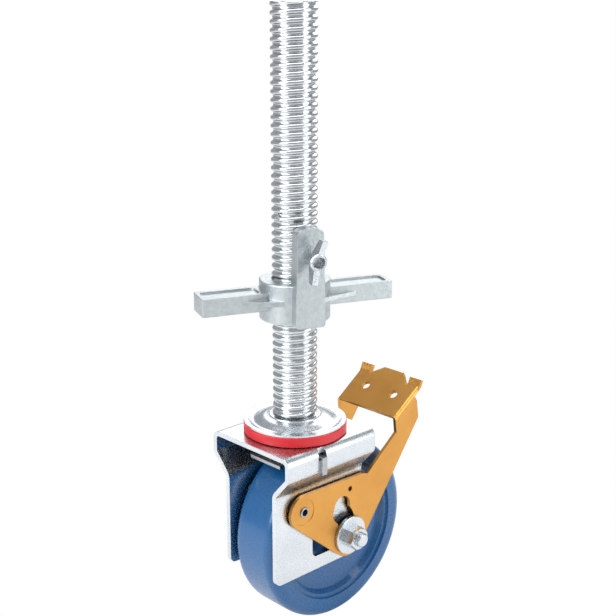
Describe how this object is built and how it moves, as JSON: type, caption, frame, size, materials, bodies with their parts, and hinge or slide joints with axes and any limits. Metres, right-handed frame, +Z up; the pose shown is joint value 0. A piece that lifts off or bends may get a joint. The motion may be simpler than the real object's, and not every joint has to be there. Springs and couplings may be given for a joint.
{
  "type": "levelling castor",
  "caption": "Swivel castor with a threaded levelling spindle, winged nut with tube ear and wing screw, folded fork, solid wheel and a pedal whose cam arms centre and brake it.",
  "frame": {"origin": "on the spindle's axis, in the plane of the swivel disc's rim", "axes": "+Z up the spindle, +X along the rolling direction towards the pedal, +Y along the wheel's axle"},
  "size_m": [0.2048, 0.1031, 0.5224],
  "materials": {
    "zinc_steel": "bright zinc plate, satin",
    "bearing_steel": "plain steel, lightly oiled",
    "yellow_zinc": "yellow passivated zinc, satin",
    "cast_nut": "hot-dip galvanised casting, grained",
    "blue_wheel": "moulded, semi-gloss",
    "red_seal": "moulded, satin",
    "black_guide": "moulded, matte"
  },
  "bodies": {
    "stem": {"spindle": "zinc_steel", "top_disc": "zinc_steel", "seal_ring": "red_seal", "upper_balls": "bearing_steel", "lower_balls": "bearing_steel", "lower_race": "bearing_steel", "king_pin": "bearing_steel"},
    "fork": {"fork": "zinc_steel", "pivot_rivet_left": "bearing_steel", "pivot_rivet_right": "bearing_steel", "brake_spring": "bearing_steel"},
    "lever": {"brake_lever": "yellow_zinc"},
    "axle_carriage": {"axle_tube": "bearing_steel", "axle_bolt": "zinc_steel", "axle_nut": "zinc_steel", "washer_left": "zinc_steel", "washer_right": "zinc_steel", "guide_left": "black_guide", "guide_right": "black_guide"},
    "wheel": {"wheel": "blue_wheel", "roller_cage": "black_guide", "bearing_rollers": "bearing_steel"},
    "nut": {"levelling_nut": "cast_nut"},
    "wing_screw": {"wing_screw": "zinc_steel"}
  },
  "joints": [
    {"name": "swivel", "type": "hinge", "parent": "stem", "child": "fork", "pos_m": [0, 0, 0], "axis": [0, 0, 1], "continuous": true},
    {"name": "lever_pivot", "type": "hinge", "parent": "fork", "child": "lever", "pos_m": [-0.023, 0, -0.0675], "axis": [0, 1, 0], "range_deg": [0, 39]},
    {"name": "axle_slide", "type": "slide", "parent": "fork", "child": "axle_carriage", "axis": [-1, 0, 0], "range_m": [0, 0.0284]},
    {"name": "wheel_spin", "type": "hinge", "parent": "axle_carriage", "child": "wheel", "pos_m": [0.0296, 0, -0.1054], "axis": [0, 1, 0], "continuous": true},
    {"name": "nut_level", "type": "slide", "parent": "stem", "child": "nut", "axis": [0, 0, 1], "range_m": [-0.08, 0.048]},
    {"name": "screw_turn", "type": "hinge", "parent": "nut", "child": "wing_screw", "pos_m": [-0.01378, -0.03326, 0.145], "axis": [-0.3827, -0.9239, 0], "continuous": true}
  ],
  "couplings": [
    {"joint": "axle_slide", "follows": "lever_pivot", "m_per_rad": 0.041723}
  ]
}
